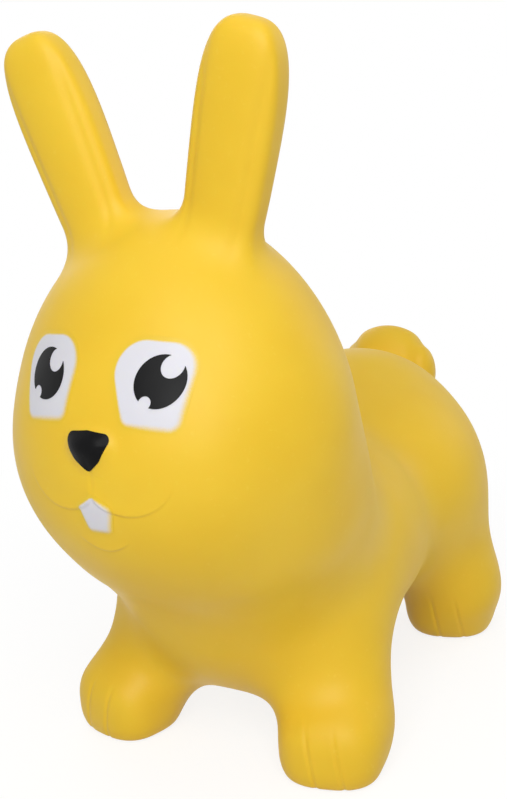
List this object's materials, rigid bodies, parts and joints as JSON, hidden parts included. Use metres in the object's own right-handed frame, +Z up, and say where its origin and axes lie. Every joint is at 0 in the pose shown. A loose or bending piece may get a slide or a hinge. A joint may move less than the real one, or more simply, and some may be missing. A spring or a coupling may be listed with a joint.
{
  "type": "bouncy ride on animal",
  "caption": "Inflatable bounce rabbit ridden astride: one soft hollow moulding with upright ear grips, splayed legs, a painted face and a push-in valve plug underneath.",
  "frame": {"origin": "on the floor under the middle of the rabbit's length and width", "axes": "+Z up, the rabbit faces -Y, and its own left side is +X"},
  "size_m": [0.2844, 0.549, 0.5698],
  "materials": {
    "yellow_pvc": "matte soft PVC, faintly satin",
    "white_pvc": "smooth satin",
    "white_paint": "satin paint, sprayed edge",
    "black_paint": "glossy paint"
  },
  "bodies": {
    "rabbit": {"body_skin": "yellow_pvc", "left_eye_white": "white_paint", "right_eye_white": "white_paint", "left_pupil": "black_paint", "right_pupil": "black_paint", "nose": "black_paint", "tooth": "white_paint"},
    "plug": {"valve_plug": "white_pvc"}
  },
  "joints": [
    {"name": "valve_plug_pull", "type": "slide", "parent": "rabbit", "child": "plug", "axis": [0, 0, -1], "range_m": [0, 0.022]}
  ]
}
